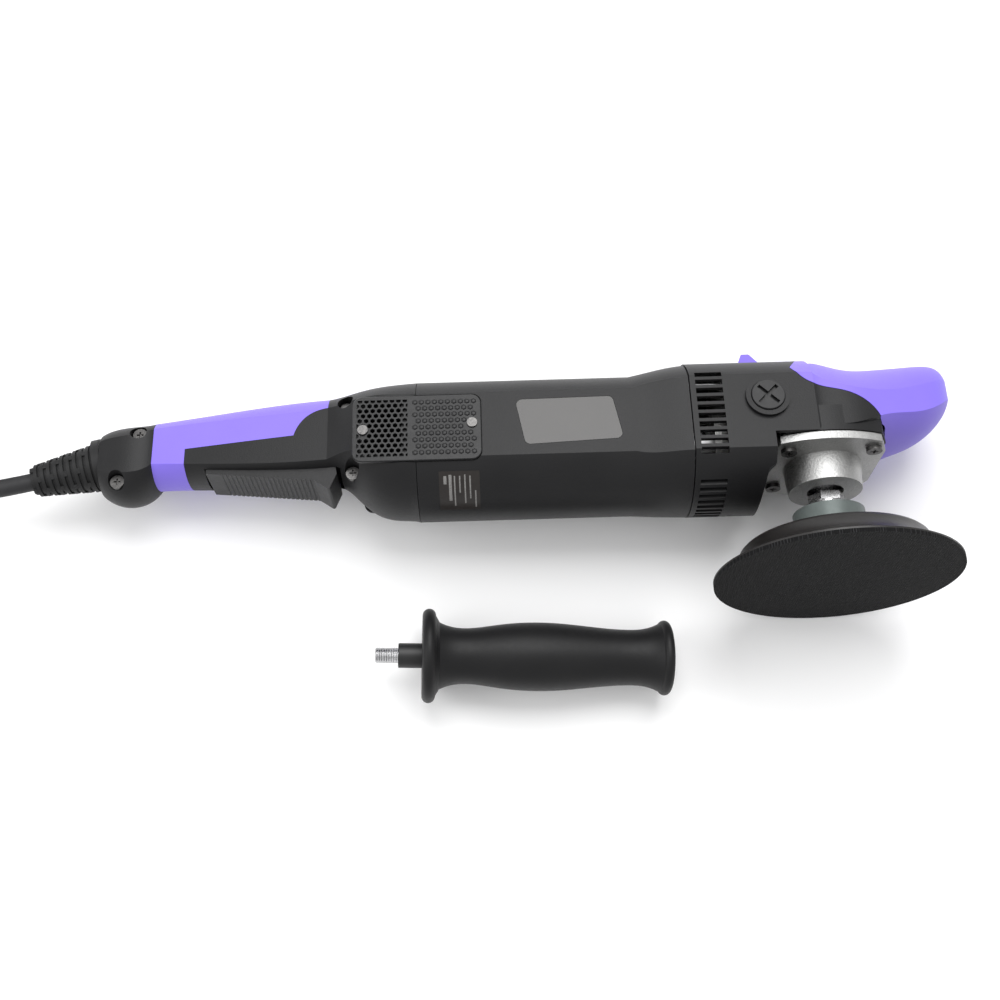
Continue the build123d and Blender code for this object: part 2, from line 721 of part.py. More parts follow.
# ---------------------------------------------------------------- head cover and nose grip
head_top = 42.8
cover_stations = [(x, head_top, 22.4, -19.2, -37.8, head_flat) for x in (head_seam + 0.5, -8.0)]
nose_stations = [
    (-8.0, 39.6, 21.6, -10.0, -10.6, head_flat),
    (10.0, 37.6, 14.0, -7.0, -10.6, 35.2),
    (26.0, 37.0, 13.0, -1.5, -10.3, 31.8),
    (41.4, 38.7, 16.4, 2.4, -5.0, 26.4),
    (55.6, 40.2, 21.4, 6.8, 1.0, 22.0),
    (64.2, 39.4, 25.6, 12.8, 7.8, 16.8),
    (69.0, 34.6, 28.0, 17.6, 14.4, 9.6),
    (70.4, 29.6, 27.2, 19.8, 18.4, 4.6),
]


def side_view(thick, *points):
    """Block extruded across the tool from a closed side-view outline."""
    with BuildPart() as block:
        with BuildSketch(Plane.XY.offset(-thick)):
            with BuildLine():
                Polyline(*points, close=True)
            make_face()
        extrude(amount=2 * thick)
    return block.part


head_side = ((-80, 60), (-30, 60), (-23, head_top), (-8.0, 39.7), (-8.0, -10.6), (-30.4, -10.6), (-30.4, -25.6),
             (-34.0, -27.6), (-41.0, -60), (-80, -60))
with BuildPart() as head_form:
    add(form(cover_stations))
    add(side_view(50, *head_side), mode=Mode.INTERSECT)
    add(form(nose_stations))

inner_cover = [(x, head_top - wall, 21.0, -17.8, -37.8 + wall, head_flat - wall) for x in (head_seam - 1, -8.0)]
inner_side = ((-80, 60), (-26, 60), (-24, head_top - wall), (-8.0, 39.7 - wall), (-8.0, -14), (-30.4 - wall, -14),
              (-30.4 - wall, -24.0), (-36.4, -25.6), (-43.4, -60), (-80, -60))
with BuildPart() as head_hollow:
    add(form(inner_cover))
    add(side_view(50, *inner_side), mode=Mode.INTERSECT)
    add(form(nose_stations[:4], wall))
    with BuildSketch(Plane.XZ.offset(30)):
        with Locations((-2, 0)):
            RectangleRounded(62, 57, 8)
    extrude(amount=-32)


def nose_zone(shift):
    """Everything in front of and above the joint line between cover and nose grip."""
    with BuildPart() as zone:
        with BuildSketch(Plane.XY.offset(-50)):
            with BuildLine():
                s1 = Spline((-18.6 + shift, 26.8 + shift), (-5.8 + shift, 14.8 + shift),
                            (8.0 + shift, 10.8 + shift), (18.4 + shift, 5.0 + shift), (25.5 + shift, -14.0))
                Polyline(s1 @ 1, (80, -14), (80, 70), (-7.0 + shift, 70), (-7.0 + shift, 45.0), s1 @ 0)
            make_face()
        extrude(amount=100)
    return zone.part


window_x = (-68.1, -54.4)

def flange_face(grow=0.0):
    """Outline of the bearing flange, seen along the spindle, optionally grown."""
    with BuildSketch() as face:
        with BuildLine():
            r1 = Polyline((-27.0, 29.4), (-29.0, 18.0), (-29.0, -18.0), (-27.0, -29.4))
            r2 = ThreePointArc(r1 @ 1, (0, -34.7), (24.0, -29.4))
            r3 = Polyline(r2 @ 1, (28.6, -18.0), (28.6, 18.0), (24.0, 29.4))
            ThreePointArc(r3 @ 1, (0, 34.7), r1 @ 0)
        make_face()
        if grow:
            offset(amount=grow)
    return face.sketch


def flange_rim(grow, high):
    """Front half of the low skirt that stands round the bearing flange."""
    with BuildPart() as rim:
        with BuildSketch(below(flange_depth - flange_thick - seam)):
            add(flange_face(grow))
        extrude(amount=-high)
        with Locations((-49.0, 0, 0)):
            Box(80, 60, 90, mode=Mode.SUBTRACT)
    return rim.part


with BuildPart() as head_cover:
    add(head_form.part)
    add(head_hollow.part, mode=Mode.SUBTRACT)
    add(nose_zone(0), mode=Mode.SUBTRACT)
    add(flange_rim(0.8, 14.0))
    with BuildSketch(below(20)):
        Circle(case_radius + 0.2)
    extrude(amount=-32, mode=Mode.SUBTRACT)
    with BuildSketch(below(20)):
        with GridLocations(43.4, 43.4, 2, 2):
            Circle(5.4)
    extrude(amount=-22, mode=Mode.SUBTRACT)
    for row in range(10):
        with Locations((sum(window_x) / 2, 22.8 - 4.75 * row, 0)):
            Box(window_x[1] - window_x[0], 3.0, 90, mode=Mode.SUBTRACT)
    for row in range(11):
        with Locations((sum(window_x) / 2, -36, 22.0 - 4.4 * row)):
            Box(window_x[1] - window_x[0], 18, 2.7, mode=Mode.SUBTRACT)
    for side in (1, -1):
        with BuildSketch(Plane(origin=(0, 0, side * (head_flat - wall)), x_dir=(1, 0, 0), z_dir=(0, 0, 1))):
            with Locations((socket_x, socket_y)):
                Circle(11.2)
        extrude(amount=side * (wall + 2.2))
        with BuildSketch(Plane(origin=(0, 0, side * (head_flat - wall - 1)), x_dir=(1, 0, 0), z_dir=(0, 0, 1))):
            with Locations((socket_x, socket_y)):
                Circle(8.7)
        extrude(amount=side * 10, mode=Mode.SUBTRACT)
    with Locations(((collar_x[0] + collar_x[1]) / 2, 42, 0)):
        Box(13.0, 14, 11.0, mode=Mode.SUBTRACT)
keep(head_cover, "head_cover")

with BuildPart() as nose_grip:
    add(head_form.part)
    add(head_hollow.part, mode=Mode.SUBTRACT)
    add(nose_zone(0.3), mode=Mode.INTERSECT)
    add(flange_rim(1.1, 14.3), mode=Mode.SUBTRACT)
keep(nose_grip, "nose_grip")

# ---------------------------------------------------------------- port cap with its crossed slot
with BuildPart() as port_cap:
    with BuildSketch(Plane.XY.offset(34.5)):
        with Locations((socket_x, socket_y)):
            Circle(8.5)
    extrude(amount=4.2)
    with BuildSketch(Plane.XY.offset(36.9)):
        with Locations(Location((socket_x, socket_y, 0), 45)):
            Rectangle(13.5, 2.0)
            Rectangle(2.0, 13.5)
    extrude(amount=3, mode=Mode.SUBTRACT)
    with BuildSketch(Plane.XY.offset(34.5)):
        with Locations((socket_x, socket_y)):
            Circle(stud_radius - 0.05)
    extrude(amount=-9)
    fillet(port_cap.edges().filter_by(GeomType.CIRCLE).sort_by(Axis.Z)[-1], 0.5)
keep(port_cap, "port_cap")

# ---------------------------------------------------------------- lock button, pin and spring
lock_x = sum(collar_x) / 2
lock_travel = 3.5
with BuildPart() as lock_button:
    with BuildSketch(Plane.XY.offset(-5.0)):
        with BuildLine():
            Polyline((lock_x - 5.8, 39.0), (lock_x - 5.8, 45.0), (lock_x - 3.4, 51.2), (lock_x + 0.8, 51.2),
                     (lock_x + 5.8, 45.4), (lock_x + 5.8, 39.0), close=True)
        make_face()
    extrude(amount=10.0)
    with BuildSketch(below(-39.0)):
        with Locations((lock_x, 0)):
            Circle(6.6)
    extrude(amount=1.2)
    fillet(lock_button.edges().filter_by(Axis.Z).group_by(Axis.Y)[-1], 1.0)
keep(lock_button, "lock_button")

with BuildPart() as lock_pin:
    with BuildSketch(below(-37.8)):
        with Locations((lock_x, 0)):
            Circle(2.2)
    extrude(amount=37.8 - 8.4 - 0.5 - lock_travel)
keep(lock_pin, "lock_pin")
spring("lock_spring", Plane(origin=(lock_x, 19.3, 0), x_dir=(1, 0, 0), z_dir=(0, 1, 0)), 3.6, 0.45, 17.8, 6)

# ---------------------------------------------------------------- bearing flange, its screws and the ring gear
with BuildPart() as bearing_flange:
    with BuildSketch(below(flange_depth - flange_thick)):
        add(flange_face())
    extrude(amount=flange_thick)
    with BuildSketch(below(flange_depth)):
        Circle(20.2)
    with BuildSketch(below(boss_depth)):
        Circle(18.9)
    loft()
    with BuildSketch(below(flange_depth - flange_thick)):
        Circle(18.4)
    extrude(amount=-7.0)
    with BuildSketch(below(flange_depth - flange_thick - 7.0)):
        Circle(15.5)
    extrude(amount=7.6, mode=Mode.SUBTRACT)
    with BuildSketch(below(flange_depth - flange_thick)):
        Circle(16.9)
    extrude(amount=26.6 - flange_depth + flange_thick, mode=Mode.SUBTRACT)
    with BuildSketch(below(20)):
        Circle(9.4)
    extrude(amount=12, mode=Mode.SUBTRACT)
    with BuildSketch(below(flange_depth - flange_thick)):
        with GridLocations(43.4, 43.4, 2, 2):
            Circle(2.1)
    extrude(amount=flange_thick, mode=Mode.SUBTRACT)
keep(bearing_flange, "bearing_flange")

with BuildPart() as flange_screws:
    with BuildSketch(below(flange_depth)):
        with GridLocations(43.4, 43.4, 2, 2):
            Circle(4.0)
    extrude(amount=2.2)
    with BuildSketch(below(flange_depth + 1.0)):
        with GridLocations(43.4, 43.4, 2, 2):
            Rectangle(4.2, 0.9)
            Rectangle(0.9, 4.2)
    extrude(amount=1.4, mode=Mode.SUBTRACT)
    with BuildSketch(below(flange_depth)):
        with GridLocations(43.4, 43.4, 2, 2):
            Circle(1.85)
    extrude(amount=-12.0)
keep(flange_screws, "flange_screws")

ring_pitch = ring_teeth * gear_module / 2
planet_pitch = planet_teeth * gear_module / 2
mesh_top = 20.6
mesh_low = 26.0
with BuildPart() as ring_gear:
    with BuildSketch(below(mesh_top)):
        Circle(16.9)
        Circle(ring_pitch + 1.1 * gear_module, mode=Mode.SUBTRACT)
        with PolarLocations(0, ring_teeth):
            add(spur_tooth(ring_pitch + 1.9, ring_pitch - 0.75))
    extrude(amount=mesh_low - mesh_top)
keep(ring_gear, "ring_gear")

# ---------------------------------------------------------------- spindle with eccentric carrier
bearing("upper_spindle_bearing", below(-24.0), spindle_radius, 10.0, 6.0)
bearing("lower_spindle_bearing", below(4.5), 8.0, 15.5, 6.4)
carrier_top, carrier_low = 12.2, 20.0
pad_shaft = 5.0
with BuildPart() as main_spindle:
    with BuildSketch(below(-24.2)):
        Circle(spindle_radius - running)
    extrude(amount=27.0)
    with BuildSketch(below(-6.4)):
        Circle(spindle_radius + 2)
    extrude(amount=5.0)
    with BuildSketch(below(1.0)):
        Circle(8.0 - running)
    extrude(amount=carrier_top - 1.0)
    with BuildSketch(below(carrier_top)):
        Circle(16.0)
    extrude(amount=carrier_low - carrier_top)
    with BuildSketch(below_pad(carrier_top + 0.8)):
        Circle(10.0)
    extrude(amount=carrier_low, mode=Mode.SUBTRACT)
keep(main_spindle, "main_spindle")
bearing("pad_bearing", below_pad(carrier_top + 0.8), pad_shaft, 10.0, 6.6)

# ---------------------------------------------------------------- pad spindle and planet pinion
with BuildPart() as pad_spindle:
    with BuildSketch(below_pad(carrier_top + 1.2)):
        Circle(pad_shaft - running)
    extrude(amount=hub_depth - carrier_top + 8)
    with BuildSketch(below_pad(30.2)):
        RegularPolygon(9.6, 6)
    extrude(amount=4.4)
    with BuildSketch(below_pad(34.6)):
        Circle(8.6)
    extrude(amount=hub_depth - 34.6)
keep(pad_spindle, "pad_spindle")

mesh_angle = orbit_phase - 90
planet_start = mesh_angle - 360 / planet_teeth * ((mesh_angle * ring_teeth / 360) % 1 - 0.5)
with BuildPart() as planet_pinion:
    with BuildSketch(below_pad(mesh_top)):
        Circle(planet_pitch - 1.15 * gear_module)
        with PolarLocations(0, planet_teeth, start_angle=planet_start):
            add(spur_tooth(planet_pitch - 1.6, planet_pitch + 0.75))
        Circle(pad_shaft, mode=Mode.SUBTRACT)
    extrude(amount=mesh_low - mesh_top - 0.2)
keep(planet_pinion, "planet_pinion")

# ---------------------------------------------------------------- backing plate
rim_depth = 58.9
with BuildPart() as plate_hub:
    with BuildSketch(below_pad(hub_depth)):
        Circle(18.4)
    extrude(amount=11.0)
    with BuildSketch(below_pad(hub_depth)):
        Circle(pad_shaft)
    extrude(amount=11.0, mode=Mode.SUBTRACT)
    fillet(plate_hub.edges().filter_by(GeomType.CIRCLE).sort_by(Axis.Y)[-1:], 1.2)
keep(plate_hub, "plate_hub")

section_plane = Plane(origin=(pad_x, 0, pad_z), x_dir=(1, 0, 0), z_dir=(0, 0, 1))
hook_thick = 2.0
with BuildPart() as backing_plate:
    with BuildSketch(section_plane):
        with BuildLine():
            d1 = Line((0, -hub_depth - 11.0), (18.6, -hub_depth - 11.0))
            d2 = Spline(d1 @ 1, (30, -rim_depth + 2.0), (46.6, -rim_depth))
            d3 = Line(d2 @ 1, (48.0, -rim_depth - 1.4))
            d4 = Spline(d3 @ 1, (53.0, -rim_depth - 9.0), (plate_radius, -face_depth + hook_thick + 0.9))
            d5 = Line(d4 @ 1, (plate_radius, -face_depth + hook_thick))
            d6 = Line(d5 @ 1, (0, -face_depth + hook_thick))
            Line(d6 @ 1, d1 @ 0)
        make_face()
    revolve(axis=Axis(origin=(pad_x, 0, pad_z), direction=(0, 1, 0)))
keep(backing_plate, "backing_plate")

with BuildPart() as hook_face:
    with BuildSketch(below_pad(face_depth - hook_thick)):
        Circle(plate_radius)
    extrude(amount=hook_thick)
keep(hook_face, "hook_face")

# ---------------------------------------------------------------- side handle, lying loose beside the tool
grip_long = 132.7
flange_radius = 24.7
end_radius = 19.8
lie_tilt = 2.25               # degrees: it rests on its flange and on its smaller end
lying = Location((-40.584, -65.835, flange_radius + 0.13)) * Rotation(0, 0, -2.2) * Rotation(0, lie_tilt, 0)

with BuildPart() as side_handle_grip:
    with BuildSketch(Plane.XY):
        with BuildLine():
            g1 = Line((0, 0), (0, flange_radius - 3.5))
            g2 = ThreePointArc(g1 @ 1, (3.5, flange_radius), (7.0, flange_radius - 3.5))
            g3 = Line(g2 @ 1, (9.0, 17.6))
            g4 = Spline(g3 @ 1, (15.0, 15.4), (40.0, 16.6), (72.0, 17.7), (108.0, 14.7), (119.0, 15.5), (126.0, 18.2))
            g5 = ThreePointArc(g4 @ 1, (129.0, end_radius), (131.4, 17.6))
            g6 = Line(g5 @ 1, (grip_long, 9.0))
            g7 = Line(g6 @ 1, (grip_long, 0))
            Line(g7 @ 1, g1 @ 0)
        make_face()
    revolve(axis=Axis.X)
    with BuildSketch(Plane.YZ):
        Circle(stud_radius)
    extrude(amount=40, mode=Mode.SUBTRACT)
keep(side_handle_grip, "side_handle_grip", lying)

collar_long = 12.5
with BuildPart() as side_handle_stud:
    with BuildSketch(Plane.YZ.offset(-collar_long)):
        Circle(6.5)
    extrude(amount=collar_long)
    with BuildSketch(Plane.YZ.offset(-collar_long - 12.1)):
        Circle(stud_radius)
    extrude(amount=12.1 + collar_long + 38)
    chamfer(side_handle_stud.edges().filter_by(GeomType.CIRCLE).sort_by(Axis.X)[0], 0.6)
keep(side_handle_stud, "side_handle_stud", lying)

# ---------------------------------------------------------------- mains cord, its coil and its plug
here = Location((0, 0, 0))
relief_end = bench * Location((relief.origin + relief.z_dir * relief_length))
cord_exit = relief_end.position
leaving = (bench * Location((relief.origin + relief.z_dir * (relief_length + 22)))).position
coil_x, coil_near_y = -344.0, 23.8
coil_outer = coil_mean_radius + cord_diameter
coil_y = coil_near_y + coil_outer
coil_high = coil_layers * cord_diameter
lead_route = [
    (cord_exit.X, cord_exit.Y, cord_exit.Z),
    (leaving.X, leaving.Y, leaving.Z),
    (-290.0, 24.4, 29.6),
    (-318.0, 23.9, 29.8),
    (coil_x, coil_near_y, coil_high - cord_radius),
]
tail_route = [
    (coil_x, coil_near_y, cord_radius),
    (coil_x - 15.5, coil_near_y - 0.2, 4.9),
    (coil_x - 30.5, coil_near_y - 1.6, 7.6),
    (coil_x - 43.5, coil_near_y - 3.4, 9.8),
]


def lay_cord(label, route):
    """Cord tube: straight runs joined by arcs as large as the shorter of each pair of runs allows."""
    points = [Vector(*point) for point in route]
    radii = []
    for before, corner, after in zip(points, points[1:], points[2:]):
        shorter = min((corner - before).length, (after - corner).length)
        turn = (corner - before).get_angle(after - corner)
        radii.append(0.45 * shorter / tan(radians(turn / 2)))
    with BuildPart() as tube:
        with BuildLine() as path:
            FilletPolyline(*points, radius=radii)
        with BuildSketch(Plane(origin=path.line @ 0, z_dir=path.line % 0)):
            Circle(cord_radius)
        sweep()
    length = sum(edge.length for edge in path.edges())
    ideal = pi * cord_radius**2 * length
    print(label, "length", round(length, 1), "radii", [round(radius) for radius in radii],
          "volume ratio", round(tube.part.volume / ideal, 4), "lowest", round(tube.part.bounding_box().min.Z, 3))
    keep(tube, label, here)
    return length


lead_length = lay_cord("mains_cord", lead_route)
tail_length = lay_cord("cord_tail", tail_route)

with BuildPart() as cord_coil:
    with BuildSketch(Plane.XZ):
        with Locations((coil_mean_radius, coil_high / 2)):
            RectangleRounded(coil_columns * cord_diameter, coil_high, cord_radius - 0.1)
    revolve(axis=Axis.Z)
keep(cord_coil, "cord_coil", Location((coil_x, coil_y, 0)))
coil_turns = coil_columns * coil_layers
coil_length = 2 * pi * coil_mean_radius * coil_turns
print("cord length", round(lead_length + coil_length + tail_length, 1), "turns", coil_turns)

plug_start = Vector(*tail_route[-1])
plug_plane = Plane(origin=(plug_start.X, plug_start.Y, 10.2), x_dir=(-0.13, 1, 0), z_dir=(-1, -0.13, 0))
with BuildPart() as plug_body:
    with BuildSketch(plug_plane):
        Circle(5.6)
    with BuildSketch(plug_plane.offset(13)):
        RectangleRounded(20, 13, 5)
    loft()
    with BuildSketch(plug_plane.offset(13)):
        RectangleRounded(26, 17, 6)
    with BuildSketch(plug_plane.offset(24)):
        RectangleRounded(36, 20, 8)
    loft()
    with BuildSketch(plug_plane.offset(24)):
        RectangleRounded(36, 20, 8)
    extrude(amount=23)
keep(plug_body, "plug_body", here)

with BuildPart() as plug_pins:
    with BuildSketch(plug_plane.offset(47)):
        with Locations((-9.5, 0), (9.5, 0)):
            Circle(2.4)
    extrude(amount=19)
    fillet(plug_pins.edges().filter_by(GeomType.CIRCLE).sort_by(SortBy.RADIUS)[-2:], 0.1)
keep(plug_pins, "plug_pins", here)
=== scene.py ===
"""Looks of a corded orbital polisher lying on its side, with its loose side handle beside it."""

import json
from math import cos, hypot, pi, radians, sin, sqrt

import bmesh
import bpy
from mathutils import Matrix, Vector


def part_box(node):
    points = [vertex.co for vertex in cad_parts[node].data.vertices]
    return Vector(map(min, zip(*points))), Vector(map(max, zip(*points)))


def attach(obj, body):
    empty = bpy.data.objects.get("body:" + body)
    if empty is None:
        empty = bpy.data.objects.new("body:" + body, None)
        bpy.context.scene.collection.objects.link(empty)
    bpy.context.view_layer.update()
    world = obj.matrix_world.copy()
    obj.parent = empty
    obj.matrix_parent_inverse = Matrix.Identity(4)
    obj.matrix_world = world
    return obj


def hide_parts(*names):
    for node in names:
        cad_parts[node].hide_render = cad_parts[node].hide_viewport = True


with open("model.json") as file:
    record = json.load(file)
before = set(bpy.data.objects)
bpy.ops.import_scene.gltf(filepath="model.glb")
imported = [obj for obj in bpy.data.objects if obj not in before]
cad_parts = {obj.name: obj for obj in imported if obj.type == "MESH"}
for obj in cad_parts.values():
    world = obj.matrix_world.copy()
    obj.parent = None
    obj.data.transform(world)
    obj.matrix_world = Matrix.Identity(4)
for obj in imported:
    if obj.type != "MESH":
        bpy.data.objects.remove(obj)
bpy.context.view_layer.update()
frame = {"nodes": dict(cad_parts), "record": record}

# ---------------------------------------------------------------- camera, bench and studio light
# One camera close above the bench, an almost white bench top and broad soft light from all sides,
# so that the black mouldings read by their gloss and the shadows stay faint.
camera_place = Vector((-0.0210, -0.0709, 0.7042))
camera_right = Vector((0.99906, -0.02985, 0.03135))
camera_up = Vector((0.02564, 0.99154, 0.12721))
camera = bpy.data.objects.new("camera", bpy.data.cameras.new("camera"))
camera.data.sensor_width = 36
camera.data.lens = 46.08
turned = Matrix((camera_right, camera_up, camera_right.cross(camera_up))).transposed().to_4x4()
camera.matrix_world = Matrix.Translation(camera_place) @ turned
bpy.context.collection.objects.link(camera)
bpy.context.scene.camera = camera
bpy.context.scene.view_settings.view_transform = "Standard"

world = bpy.data.worlds.new("studio")
world.use_nodes = True
world.node_tree.nodes["Background"].inputs["Color"].default_value = (1, 1, 1, 1)
world.node_tree.nodes["Background"].inputs["Strength"].default_value = 0.75
bpy.context.scene.world = world


def soft_box(name, place, aim, size, power):
    """A square diffuse lamp that looks at a point."""
    lamp = bpy.data.lights.new(name, "AREA")
    lamp.size, lamp.energy = size, power
    holder = bpy.data.objects.new(name, lamp)
    holder.location = place
    holder.rotation_euler = (Vector(aim) - Vector(place)).to_track_quat("-Z", "Y").to_euler()
    bpy.context.collection.objects.link(holder)


soft_box("top_light", (0.1, 0.75, 1.1), (0, 0.05, 0), 0.9, 16)
soft_box("side_light", (-0.9, 0.1, 0.7), (0, 0, 0), 0.7, 4)


class Value:
    """A shader socket used as a number: arithmetic on it adds Math nodes."""

    def __init__(self, finish, socket):
        self.finish, self.socket = finish, socket

    def math(self, operation, first, second):
        return self.finish.node("ShaderNodeMath", {"operation": operation}, {0: first, 1: second})

    def __add__(self, other):
        return self.math("ADD", self, other)

    def __mul__(self, other):
        return self.math("MULTIPLY", self, other)

    __radd__, __rmul__ = __add__, __mul__

    def __rsub__(self, other):
        return self.math("SUBTRACT", other, self)

    def __gt__(self, other):
        return self.math("GREATER_THAN", self, other)

    def __pow__(self, other):
        return self.math("POWER", self, other)

    def sine(self):
        return self.math("SINE", self, 0.0)


class Finish:
    """A named procedural finish around one Principled shader."""

    def __init__(self, name, **constants):
        self.material = bpy.data.materials.new(name)
        self.material.use_nodes = True
        self.tree = self.material.node_tree
        self.shader = self.tree.nodes["Principled BSDF"]
        self.set(**constants)

    def feed(self, socket, value):
        if isinstance(value, Value):
            self.tree.links.new(value.socket, socket)
        else:
            socket.default_value = value

    def set(self, **inputs):
        for name, value in inputs.items():
            self.feed(self.shader.inputs[name.replace("_", " ")], value)

    def node(self, kind, settings=None, values=None, output=0):
        made = self.tree.nodes.new(kind)
        for name, value in (settings or {}).items():
            if name == "stops":
                ramp = made.color_ramp.elements
                while len(ramp) < len(value):
                    ramp.new(0.5)
                for stop, (place, colour) in zip(ramp, value):
                    stop.position, stop.color = place, (*colour, 1)
            else:
                setattr(made, name, value)
        for name, value in (values or {}).items():
            self.feed(made.inputs[name], value)
        return Value(self, made.outputs[output])

    def place(self):
        """Where a point lies on the piece, in metres."""
        return self.node("ShaderNodeTexCoord", output="Object")

    def noise(self, size, detail=2.0, stretch=(1, 1, 1)):
        """Noise whose lumps are about this many metres across."""
        where = self.node("ShaderNodeMapping", {}, {"Vector": self.place(), "Scale": stretch})
        return self.node("ShaderNodeTexNoise", {}, {"Vector": where, "Scale": 1 / size, "Detail": detail})

    def mix(self, factor, first, second):
        """Colour between two, by a factor."""
        return self.node("ShaderNodeMix", {"data_type": "RGBA"}, {0: factor, 6: first, 7: second}, output=2)

    def bump(self, height, depth, strength=1.0):
        """Raises the surface by this many metres where height is one."""
        settings = {"Height": height, "Distance": depth, "Strength": strength}
        self.set(Normal=self.node("ShaderNodeBump", {}, settings))


def paint(finish, *names):
    """Gives carried-over pieces of the frame this finish."""
    for name in names:
        frame["nodes"][name].data.materials.clear()
        frame["nodes"][name].data.materials.append(finish.material)


bench = Finish("bench_top", Roughness=0.6, Specular_IOR_Level=0.2)
bench.set(Base_Color=bench.mix(bench.noise(0.3), (0.93, 0.93, 0.935, 1), (0.95, 0.95, 0.95, 1)))
bpy.ops.mesh.primitive_plane_add(size=6, location=(0, 0, -0.0003))
floor = bpy.context.object
floor.name = "bench"
floor.data.materials.append(bench.material)

# The tool's own directions: X along the motor shaft, Y up the spindle, Z to the operator's right.
joints = {joint["name"]: joint for joint in frame["record"]["behaviour"]["joints"]}
tool_x = Vector(joints["armature_spin"]["axis"]).normalized()
tool_y = Vector(joints["spindle_spin"]["axis"]).normalized()
tool = Matrix.Translation(joints["spindle_spin"]["pos_m"]) @ Matrix(
    (tool_x, tool_y, tool_x.cross(tool_y))).transposed().to_4x4() @ Matrix.Scale(0.001, 4)


def piece(name, bm, finish, body, place=tool, smooth=35, bevel=0.0):
    """Turns a bmesh made in millimetres into a piece that rides on a body."""
    mesh = bpy.data.meshes.new(name)
    bmesh.ops.recalc_face_normals(bm, faces=bm.faces)
    bm.transform(place)
    bm.to_mesh(mesh)
    bm.free()
    made = bpy.data.objects.new(name, mesh)
    bpy.context.collection.objects.link(made)
    mesh.materials.append(finish.material)
    mesh.shade_smooth()
    mesh.set_sharp_from_angle(angle=radians(smooth))
    if bevel:
        edge = made.modifiers.new("edge", "BEVEL")
        edge.width, edge.segments, edge.limit_method = bevel * 0.001, 2, "ANGLE"
        edge.angle_limit = radians(smooth)
    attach(made, body)
    return made


# ---------------------------------------------------------------- mains cord, coil and plug
# Rubber-sheathed two-core cord, 9.5 mm across and 4 m long. It leaves the tapered sleeve, runs on to a
# neat coil of twelve turns, three wide and four high, and ends in a moulded two-pin plug.
cord_radius = 0.00475
coil_low, coil_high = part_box("cord_coil")
coil_middle = (coil_low + coil_high) / 2
coil_mean, cord_step = 0.052, 2 * cord_radius
outer_turn = coil_mean + cord_step
sleeve_length = 37.5
sleeve_tilt = radians(12.0)
sleeve_root = Vector((-375.3, -2.4, 0.0))
sleeve_way = Vector((-cos(sleeve_tilt), -sin(sleeve_tilt), 0.0))
cord_exit = tool @ (sleeve_root + sleeve_way * sleeve_length)
cord_leaving = tool @ (sleeve_root + sleeve_way * (sleeve_length + 22))

route = [cord_exit, cord_leaving, Vector((-0.2900, 0.0244, 0.0296)), Vector((-0.3180, 0.0239, 0.0298))]
turns, per_turn = 12, 16
columns = [1, 0, -1, -1, 0, 1, 1, 0, -1, -1, 0, 1, 1]
for step in range(turns * per_turn + 1):
    turn, share = step // per_turn, step % per_turn / per_turn
    climb = max(0.0, (share - 0.75) / 0.25)
    column = columns[turn] + (columns[min(turn + 1, turns)] - columns[turn]) * climb
    layer = 3 - min(turn, turns - 1) // 3 - (climb if turn % 3 == 2 and turn < turns - 1 else 0.0)
    radius = coil_mean + column * cord_step * 0.995
    angle = -pi / 2 - 2 * pi * step / per_turn
    route.append(Vector((coil_middle.x + radius * cos(angle), coil_middle.y + radius * sin(angle),
                         cord_radius + layer * cord_step)))
tail_y = coil_middle.y - outer_turn
for along, across, height in ((0.0155, 0.0002, 0.0049), (0.0305, 0.0016, 0.0076), (0.0435, 0.0034, 0.0098)):
    route.append(Vector((coil_middle.x - along, tail_y - across, height)))

sheath = Finish("rubber_sheath", Roughness=0.55, Specular_IOR_Level=0.35)
sheath.set(Base_Color=sheath.mix(sheath.noise(0.004), (0.012, 0.012, 0.013, 1), (0.022, 0.022, 0.024, 1)))
sheath.bump(sheath.noise(0.0006), 0.00006)

line = bpy.data.curves.new("cord", "CURVE")
line.dimensions = "3D"
line.bevel_depth, line.bevel_resolution, line.use_fill_caps = cord_radius, 4, True
line.resolution_u = 6
spline = line.splines.new("NURBS")
spline.points.add(len(route) - 1)
for point, place in zip(spline.points, route):
    point.co = (*place, 1)
spline.order_u = 3
spline.use_endpoint_u = True
line.materials.append(sheath.material)
cord = bpy.data.objects.new("cord", line)
bpy.context.collection.objects.link(cord)
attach(cord, "tool")
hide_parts("mains_cord", "cord_coil", "cord_tail")

plug_rubber = Finish("plug_rubber", Roughness=0.5, Specular_IOR_Level=0.25)
plug_rubber.set(Base_Color=plug_rubber.mix(plug_rubber.noise(0.006),
                                           (0.010, 0.010, 0.011, 1), (0.016, 0.016, 0.017, 1)))
plug_rubber.bump(plug_rubber.noise(0.0005), 0.00005)
paint(plug_rubber, "plug_body")

# ---------------------------------------------------------------- motor housing and handle shells
# Injection-moulded glass-filled nylon, spark-eroded to a fine matt grain, screwed together along the middle.
# A thin film label with printed bars is stuck round the lower curve behind the handle joint.
housing = Finish("grained_nylon", Specular_IOR_Level=0.24)
grain = housing.noise(0.0007, 3.0)
wear = housing.noise(0.035, 3.0)
housing.set(Base_Color=housing.mix(wear, (0.0065, 0.0065, 0.0072, 1), (0.0125, 0.0125, 0.0132, 1)),
            Roughness=0.36 + 0.1 * grain + 0.1 * wear)
housing.bump(grain, 0.00011, 0.8)
paint(housing, "motor_housing", "handle_shell_right", "handle_shell_left", "head_cover")

barrel_radius = 36.7


